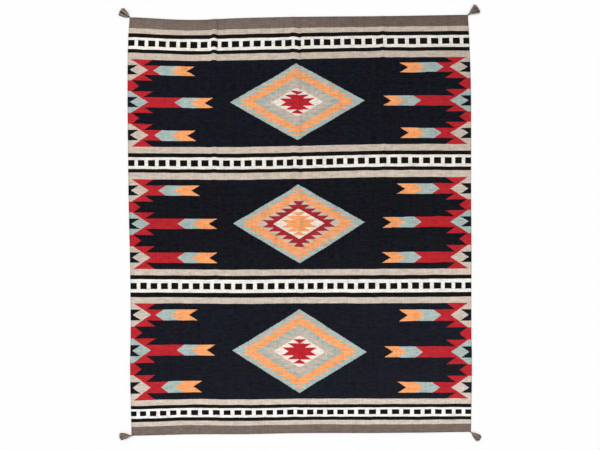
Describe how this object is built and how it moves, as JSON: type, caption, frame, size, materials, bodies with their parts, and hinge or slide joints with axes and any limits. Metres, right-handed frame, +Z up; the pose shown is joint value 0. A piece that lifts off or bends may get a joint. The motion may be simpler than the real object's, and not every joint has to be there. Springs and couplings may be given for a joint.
{
  "type": "flatweave rug",
  "caption": "Rectangular flat-woven wool rug with banded borders, stepped diamonds and arrow motifs, and a yarn tassel tied at each corner.",
  "frame": {"origin": "middle of the cloth's underside, on the floor that the rug lies on", "axes": "+X across the rug, +Y along it to the far end, +Z up from the floor"},
  "size_m": [2.5781, 3.1035, 0.0146],
  "materials": {
    "woven_wool": "matt flat-woven wool, near-black ground with bands and motifs in brown, sand, cream, red, orange and sage",
    "tassel_yarn": "matt undyed brown wool yarn"
  },
  "bodies": {
    "root": {"cloth": "woven_wool", "tassel_far_left": "tassel_yarn", "tassel_far_right": "tassel_yarn", "tassel_near_left": "tassel_yarn", "tassel_near_right": "tassel_yarn"}
  },
  "joints": []
}
